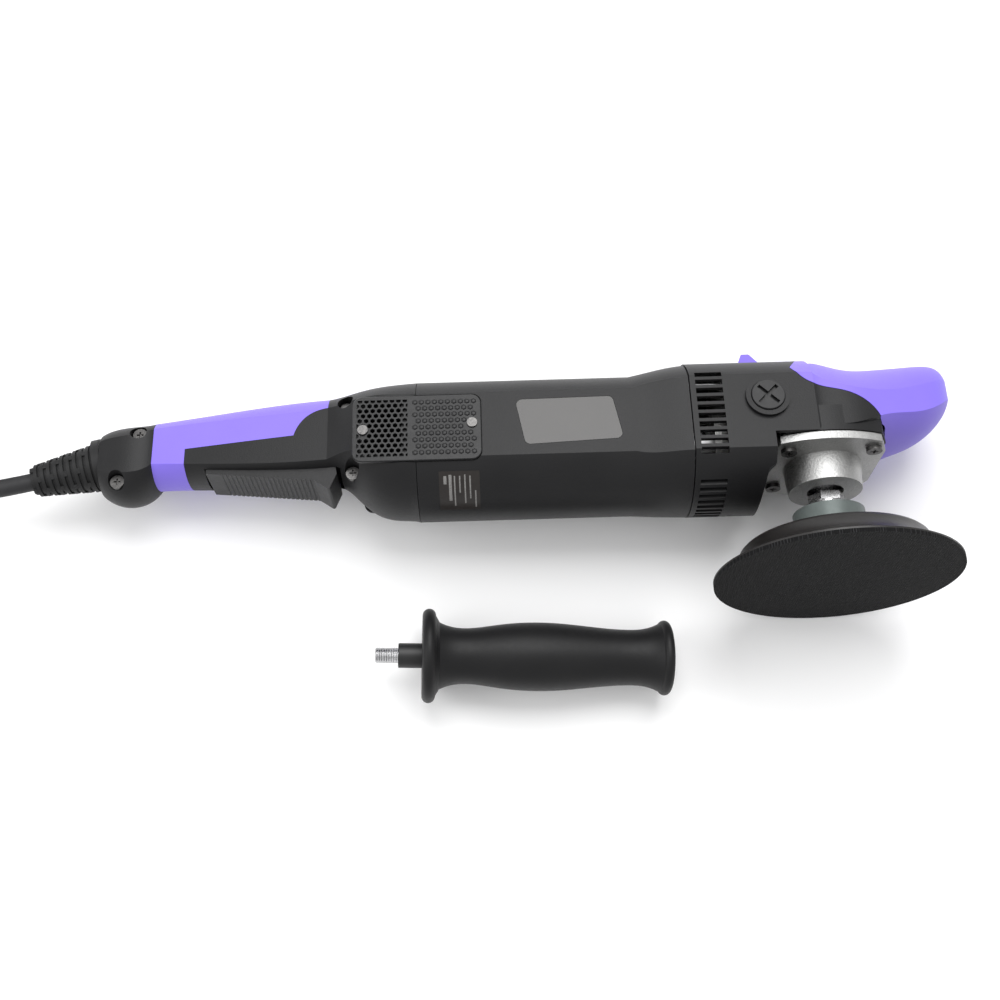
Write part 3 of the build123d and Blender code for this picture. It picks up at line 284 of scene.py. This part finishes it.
def wrapped(bm, x_low, x_high, angle_low, angle_high, radius):
    """Adds a patch bent round the motor axis to a bmesh; angles in degrees below the tool's right side."""
    steps = 10
    rows = []
    for x in (x_low, x_high):
        row = []
        for step in range(steps + 1):
            angle = -radians(angle_low + (angle_high - angle_low) * step / steps)
            row.append(bm.verts.new((x, radius * sin(angle), radius * cos(angle))))
        rows.append(row)
    for step in range(steps):
        bm.faces.new((rows[0][step], rows[0][step + 1], rows[1][step + 1], rows[1][step]))


label_film = Finish("label_film", Roughness=0.3, Specular_IOR_Level=0.4)
label_film.set(Base_Color=label_film.mix(label_film.noise(0.003),
                                         (0.010, 0.008, 0.007, 1), (0.020, 0.016, 0.014, 1)))
label_span, label_angles = (-199.5, -179.0), (41, 79)
film_proud, ink_proud = 0.10, 0.16
bm = bmesh.new()
wrapped(bm, *label_span, *label_angles, barrel_radius + film_proud)
piece("rating_label", bm, label_film, "tool")

print_ink = Finish("label_print", Roughness=0.5)
print_ink.set(Base_Color=print_ink.mix(print_ink.noise(0.0006),
                                       (0.05, 0.05, 0.05, 1), (0.30, 0.29, 0.28, 1)))
bar_angles = ((45, 52), (44, 68), (45, 74), (45, 60), (44, 71), (45, 66), (58, 76))
first_bar, bar_pitch, broad_bars, broad_width, fine_width = -197.2, 2.6, 2, 1.5, 0.7
bm = bmesh.new()
for bar, (start, end) in enumerate(bar_angles):
    bar_x = first_bar + bar_pitch * bar
    bar_width = broad_width if bar < broad_bars else fine_width
    wrapped(bm, bar_x, bar_x + bar_width, start, end, barrel_radius + ink_proud)
piece("label_bars", bm, print_ink, "tool")

# ---------------------------------------------------------------- side badges
# Smooth satin inlay with nothing printed on it, let into a shallow pocket on each flank.
inlay = Finish("badge_inlay", Roughness=0.22, Specular_IOR_Level=0.35, Coat_Weight=0.15, Coat_Roughness=0.2)
inlay.set(Base_Color=inlay.mix(inlay.noise(0.02), (0.012, 0.0105, 0.0095, 1), (0.019, 0.0165, 0.015, 1)))
paint(inlay, "side_badges")

# ---------------------------------------------------------------- soft grips
# Violet thermoplastic rubber moulded over the handle, the nose and the lock button: matt and very
# finely grained.
grip = Finish("violet_soft_touch", Roughness=0.55, Specular_IOR_Level=0.25,
              Sheen_Weight=0.12, Sheen_Roughness=0.5)
grip.set(Base_Color=grip.mix(grip.noise(0.03, 3.0), (0.185, 0.130, 0.640, 1), (0.215, 0.155, 0.700, 1)))
grip.bump(grip.noise(0.0005, 3.0), 0.00007, 0.7)
paint(grip, "handle_grip_right", "handle_grip_left", "nose_grip", "lock_button")

# ---------------------------------------------------------------- vent covers
# Clip-in nylon covers: an open honeycomb behind a dividing bar and a field of low hexagonal studs
# ahead of it.
cover_nylon = Finish("satin_nylon", Specular_IOR_Level=0.26)
cover_nylon.set(Base_Color=cover_nylon.mix(cover_nylon.noise(0.02),
                                           (0.007, 0.007, 0.0078, 1), (0.013, 0.013, 0.0138, 1)),
                Roughness=0.32 + 0.12 * cover_nylon.noise(0.004))
cover_nylon.bump(cover_nylon.noise(0.0006), 0.00006, 0.7)
paint(cover_nylon, "port_cap", "trigger_switch", "cord_clamp", "motor_end_frame")

cover_x, cover_y, cover_top, cover_thick = (-242.55, -177.45), (-19.85, 16.85), 32.52, 1.9
comb_x, comb_y = (-240.4, -214.6), (-17.4, 14.6)
screw_spots = ((-237.2, -2.4), (-182.1, 0.3))
screw_clear = 3.6
corner_round, corner_steps, edge_ease = 5, 6, 0.35
cell_pitch, cell_mouth, cell_bore = 3.25, 1.34, 1.24
stud_corner, stud_end, stud_pitch = (-210.9, -15.6), -179.6, (3.3, 3.55)
stud_steps = ((1.52, -0.01), (1.40, 0.28), (1.02, 0.50), (0.5, 0.56))


def hexagon(bm, x, y, z, radius):
    """Six vertices of a hexagon standing on a corner."""
    return [bm.verts.new((x + radius * sin(pi * k / 3), y + radius * cos(pi * k / 3), z)) for k in range(6)]


def band(bm, first, second):
    """Joins two loops of equal length with quads."""
    for k in range(len(first)):
        after = (k + 1) % len(first)
        bm.faces.new((first[k], first[after], second[after], second[k]))


def vent_cover(name, side, node):
    """One cover: rounded plate with a window filled by honeycomb cells, and rows of studs."""
    bm = bmesh.new()
    outer_low, outer_high, inner_low, inner_high = [], [], [], []
    arcs = ((1, 1), (-1, 1), (-1, -1), (1, -1))
    for quarter, (sx, sy) in enumerate(arcs):
        for step in range(corner_steps + 1):
            angle = pi / 2 * (quarter + step / corner_steps)
            corner_x = cover_x[1] - corner_round if sx > 0 else cover_x[0] + corner_round
            corner_y = cover_y[1] - corner_round if sy > 0 else cover_y[0] + corner_round
            x, y = corner_x + corner_round * cos(angle), corner_y + corner_round * sin(angle)
            eased = (x - edge_ease * cos(angle), y - edge_ease * sin(angle), cover_top)
            outer_high.append(bm.verts.new(eased))
            outer_low.append(bm.verts.new((x, y, cover_top - edge_ease)))
            window = (comb_x[1] if sx > 0 else comb_x[0], comb_y[1] if sy > 0 else comb_y[0])
            inner_high.append(bm.verts.new((*window, cover_top)))
            inner_low.append(bm.verts.new((*window, cover_top - cover_thick)))
    outer_base = [bm.verts.new((v.co.x, v.co.y, cover_top - cover_thick)) for v in outer_low]
    for first, second in ((outer_base, outer_low), (outer_low, outer_high), (outer_high, inner_high),
                          (inner_high, inner_low), (inner_low, outer_base)):
        band(bm, first, second)
    bmesh.ops.remove_doubles(bm, verts=bm.verts, dist=0.01)
    comb = bmesh.new()
    cell_steps = ((cell_pitch / sqrt(3), cover_top - 0.1), (cell_mouth, cover_top - 0.1),
                  (cell_bore, cover_top - 0.35), (cell_bore, cover_top - cover_thick))
    for row in range(-1, 14):
        for column in range(-1, 10):
            x = comb_x[0] + cell_pitch * (column + row % 2 / 2)
            y = comb_y[0] + 0.6 + cell_pitch * sqrt(3) / 2 * row
            loops = [hexagon(comb, x, y, z, r) for r, z in cell_steps]
            for first, second in zip(loops, loops[1:]):
                band(comb, first, second)
            if hypot(x - screw_spots[0][0], y - screw_spots[0][1]) < screw_clear:
                comb.faces.new(loops[2])
    for place, normal in (((comb_x[0], 0, 0), (-1, 0, 0)), ((comb_x[1], 0, 0), (1, 0, 0)),
                          ((0, comb_y[0], 0), (0, -1, 0)), ((0, comb_y[1], 0), (0, 1, 0))):
        geometry = comb.verts[:] + comb.edges[:] + comb.faces[:]
        bmesh.ops.bisect_plane(comb, geom=geometry, plane_co=place, plane_no=normal, clear_outer=True)
    mesh = bpy.data.meshes.new("comb")
    comb.to_mesh(mesh)
    bm.from_mesh(mesh)
    for row in range(9):
        for column in range(10):
            x = stud_corner[0] + stud_pitch[0] * (column + row % 2 / 2)
            y = stud_corner[1] + stud_pitch[1] * row
            if x < stud_end and hypot(x - screw_spots[1][0], y - screw_spots[1][1]) > screw_clear:
                loops = [hexagon(bm, x, y, cover_top + z, r) for r, z in stud_steps]
                for first, second in zip(loops, loops[1:]):
                    band(bm, first, second)
                bm.faces.new(loops[-1])
    bmesh.ops.scale(bm, vec=(1, 1, side), verts=bm.verts)
    made = piece(name, bm, cover_nylon, "tool", smooth=40)
    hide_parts(node)


vent_cover("honeycomb_cover_right", 1, "vent_cover_right")
vent_cover("honeycomb_cover_left", -1, "vent_cover_left")

# ---------------------------------------------------------------- trigger
# Long paddle moulded in nylon with fine cross ribs under the fingers, hinged at its rear end.
trigger_nylon = Finish("trigger_nylon", Specular_IOR_Level=0.26)
trigger_nylon.set(Base_Color=trigger_nylon.mix(trigger_nylon.noise(0.01),
                                               (0.008, 0.008, 0.0085, 1), (0.015, 0.015, 0.016, 1)),
                  Roughness=0.38 + 0.1 * trigger_nylon.noise(0.003))
trigger_nylon.bump(trigger_nylon.noise(0.0007), 0.00008)
paint(trigger_nylon, "trigger")

# ---------------------------------------------------------------- cord sleeve
# Soft PVC bend protector: stepped rings on a tapered tube, joined by short bars that alternate round it.
sleeve = Finish("soft_sleeve", Specular_IOR_Level=0.25)
sleeve.set(Base_Color=sleeve.mix(sleeve.noise(0.006), (0.008, 0.008, 0.008, 1), (0.015, 0.015, 0.016, 1)),
           Roughness=0.45 + 0.15 * sleeve.noise(0.002))
sleeve.bump(sleeve.noise(0.0006), 0.00006)
paint(sleeve, "strain_relief")
bm = bmesh.new()
sleeve_side = Vector((0, 0, 1))
sleeve_over = sleeve_way.cross(sleeve_side)
gaps, first_gap, gap_pitch = 9, 7.4, 3.5
root_reach, taper_per_gap = 12.1, 0.48
bar_depth, bar_length, bar_half, bar_twist = 3.4, 2.1, 1.5, 0.35
bar_outline = ((0, -bar_half), (bar_length, -bar_half), (bar_length, bar_half), (0, bar_half))
for gap in range(gaps):
    along = first_gap + gap_pitch * gap
    reach = root_reach - taper_per_gap * gap
    for bar in range(4):
        angle = pi / 2 * bar + (pi / 4 if gap % 2 else 0) + bar_twist
        out = sleeve_side * cos(angle) + sleeve_over * sin(angle)
        wide = sleeve_way.cross(out)
        corners = [sleeve_root + sleeve_way * (along + a) + out * r + wide * w
                   for r in (reach - bar_depth, reach) for a, w in bar_outline]
        box = [bm.verts.new(corner) for corner in corners]
        bm.faces.new(box[4:])
        for k in range(4):
            bm.faces.new((box[k], box[(k + 1) % 4], box[4 + (k + 1) % 4], box[4 + k]))
piece("sleeve_bars", bm, sleeve, "tool", bevel=0.3)

# ---------------------------------------------------------------- screws, pins and springs
# Black-oxide cross-head screws in the shells, bright ones in the bearing flange; ground pins and spring wire.
oxide = Finish("black_oxide", Metallic=1.0)
oxide.set(Base_Color=oxide.mix(oxide.noise(0.0012), (0.05, 0.05, 0.052, 1), (0.16, 0.155, 0.15, 1)),
          Roughness=0.3 + 0.2 * oxide.noise(0.0008))
oxide.bump(oxide.noise(0.0004), 0.00003)
paint(oxide, "shell_screws", "vent_cover_screws", "flange_screws")
ground = Finish("ground_steel", Metallic=1.0)
streaks = ground.noise(0.0004, 2.0, (1, 1, 14))
ground.set(Base_Color=ground.mix(streaks, (0.34, 0.34, 0.35, 1), (0.50, 0.50, 0.50, 1)),
           Roughness=0.25 + 0.2 * streaks)
ground.bump(streaks, 0.00002)
paint(ground, "trigger_pivot_pin", "trigger_spring", "lock_pin", "lock_spring", "head_screws", "rear_bearing",
      "front_bearing", "armature_shaft", "lock_collar", "bevel_pinion", "crown_gear",
      "ring_gear", "main_spindle",
      "upper_spindle_bearing", "lower_spindle_bearing", "pad_bearing", "planet_pinion", "brush_springs")

# ---------------------------------------------------------------- motor
# Universal motor: stacked silicon-steel cores, enamelled copper, brass brush boxes and a nylon fan.
stack = Finish("core_stack", Metallic=0.9)
sheets = stack.node("ShaderNodeTexWave", {"bands_direction": "X"},
                    {"Vector": stack.place(), "Scale": 320.0, "Distortion": 0.3}, output=1)
stack.set(Base_Color=stack.mix(sheets, (0.06, 0.06, 0.065, 1), (0.22, 0.22, 0.23, 1)),
          Roughness=0.45 + 0.15 * sheets)
stack.bump(sheets, 0.00005)
paint(stack, "stator_core", "armature_core")
enamel = Finish("enamelled_copper", Metallic=0.85, Coat_Weight=0.4, Coat_Roughness=0.15)
wires = enamel.node("ShaderNodeTexWave", {},
                    {"Vector": enamel.place(), "Scale": 260.0, "Distortion": 1.2}, output=1)
enamel.set(Base_Color=enamel.mix(wires, (0.28, 0.09, 0.03, 1), (0.62, 0.26, 0.10, 1)),
           Roughness=0.3 + 0.1 * wires)
enamel.bump(wires, 0.0002)
paint(enamel, "field_windings", "armature_windings", "commutator")
brass = Finish("bare_brass", Metallic=1.0)
brass.set(Base_Color=brass.mix(brass.noise(0.003), (0.50, 0.36, 0.14, 1), (0.66, 0.50, 0.24, 1)),
          Roughness=0.3 + 0.2 * brass.noise(0.001))
paint(brass, "brush_holders")
graphite = Finish("pressed_graphite", Metallic=0.2)
graphite.set(Base_Color=graphite.mix(graphite.noise(0.0008),
                                     (0.02, 0.02, 0.02, 1), (0.06, 0.06, 0.06, 1)),
             Roughness=0.5 + 0.2 * graphite.noise(0.001))
paint(graphite, "carbon_brushes")
natural = Finish("natural_nylon", Subsurface_Weight=0.1)
natural.set(Base_Color=natural.mix(natural.noise(0.01), (0.52, 0.48, 0.36, 1), (0.62, 0.58, 0.46, 1)),
            Roughness=0.4 + 0.1 * natural.noise(0.002))
paint(natural, "cooling_fan")

# ---------------------------------------------------------------- gear case and bearing flange
# Pressure die-cast aluminium, bead-blasted to an even sparkling grain, with a few darker flow marks.
casting = Finish("blasted_casting", Metallic=1.0)
pits = casting.noise(0.0009, 4.0)
flow = casting.noise(0.012, 3.0)
casting.set(Base_Color=casting.mix(pits * 0.6 + flow * 0.4, (0.20, 0.20, 0.20, 1), (0.62, 0.62, 0.61, 1)),
            Roughness=0.34 + 0.25 * pits)
casting.bump(pits, 0.00035, 0.7)
paint(casting, "gear_case", "bearing_flange")

# ---------------------------------------------------------------- pad spindle and plate hub
# Bright zinc-plated steel spindle with a spanner hexagon, screwed into a grey-coated aluminium hub.
zinc = Finish("zinc_plate", Metallic=1.0)
zinc.set(Base_Color=zinc.mix(zinc.noise(0.002), (0.42, 0.42, 0.42, 1), (0.62, 0.62, 0.63, 1)),
         Roughness=0.2 + 0.15 * zinc.noise(0.001))
zinc.bump(zinc.noise(0.0005), 0.00002)
paint(zinc, "pad_spindle", "plug_pins")
coating = Finish("grey_coating", Specular_IOR_Level=0.35, Metallic=0.25)
coating.set(Base_Color=coating.mix(coating.noise(0.005),
                                   (0.085, 0.102, 0.098, 1), (0.12, 0.14, 0.135, 1)),
            Roughness=0.38 + 0.15 * coating.noise(0.0015))
coating.bump(coating.noise(0.0007), 0.00005)
paint(coating, "plate_hub")

# ---------------------------------------------------------------- backing plate and hook face
# Integral-skin polyurethane disc, smooth and slightly glossy, faced with black woven hook tape whose tuft
# crests carry a painted highlight and whose hollows carry painted shade.
skin = Finish("polyurethane_skin", Specular_IOR_Level=0.4)
skin.set(Base_Color=skin.mix(skin.noise(0.012, 3.0),
                             (0.008, 0.0072, 0.007, 1), (0.016, 0.0145, 0.014, 1)),
         Roughness=0.34 + 0.14 * skin.noise(0.004))
skin.bump(skin.noise(0.0012), 0.00005)
paint(skin, "backing_plate")
hooks = Finish("woven_hooks", Specular_IOR_Level=0.2)
where = hooks.place()
along = hooks.node("ShaderNodeVectorMath", {"operation": "DOT_PRODUCT"},
                   {0: where, 1: tuple(tool_x * 1000)}, output=1)
across = hooks.node("ShaderNodeVectorMath", {"operation": "DOT_PRODUCT"},
                    {0: where, 1: tuple(tool_x.cross(tool_y) * 1000)}, output=1)
ragged = hooks.noise(0.0022, 2.0)
row_pitch, file_pitch = 1.25, 1.0
rows = (along * (2 * pi / row_pitch) + ragged * 2.0).sine() * 0.5 + 0.5
files = (across * (2 * pi / file_pitch) + ragged * 2.6).sine() * 0.5 + 0.5
tufts = rows * files
# Painted light: the tuft crests are painted lighter as a painted highlight and the hollows between the rows
# darker as painted shade; the tape itself is evenly black.
hooks.set(Base_Color=hooks.mix(tufts ** 2.0, (0.0018, 0.0018, 0.002, 1), (0.026, 0.026, 0.028, 1)),
          Roughness=0.75 + 0.15 * ragged)
hooks.bump(tufts, 0.0006, 0.9)
paint(hooks, "hook_face")

# ---------------------------------------------------------------- loose side handle
# Matt rubber moulded on a steel insert, with the bright threaded end of the M8 stud and its black collar.
soft = Finish("side_handle_rubber", Specular_IOR_Level=0.22)
soft.set(Base_Color=soft.mix(soft.noise(0.02, 3.0),
                             (0.0065, 0.0065, 0.007, 1), (0.0115, 0.0115, 0.012, 1)),
         Roughness=0.42 + 0.12 * soft.noise(0.003))
soft.bump(soft.noise(0.0006, 3.0), 0.00008, 0.8)
paint(soft, "side_handle_grip")

mounts = {mount["name"]: mount for mount in frame["record"]["mounts"]}
stud_way = Vector(mounts["side_handle_thread"]["axis"]).normalized()
stud_middle = Vector(mounts["side_handle_thread"]["pos_m"])
threaded = Finish("threaded_zinc", Metallic=1.0)
depth = threaded.node("ShaderNodeVectorMath", {"operation": "DOT_PRODUCT"},
                      {0: threaded.place(), 1: tuple(stud_way * 1000)}, output=1)
collar_end, thread_pitch = 6.4, 1.25
bare = depth > stud_way.dot(stud_middle) * 1000 - collar_end
turns_cut = (depth * (2 * pi / thread_pitch)).sine() * 0.5 + 0.5
threaded.set(Base_Color=threaded.mix(bare, (0.008, 0.008, 0.0085, 1), (0.60, 0.60, 0.61, 1)),
             Metallic=bare,
             Roughness=0.5 - 0.26 * bare)
threaded.bump(turns_cut * bare, 0.0005)
paint(threaded, "side_handle_stud")
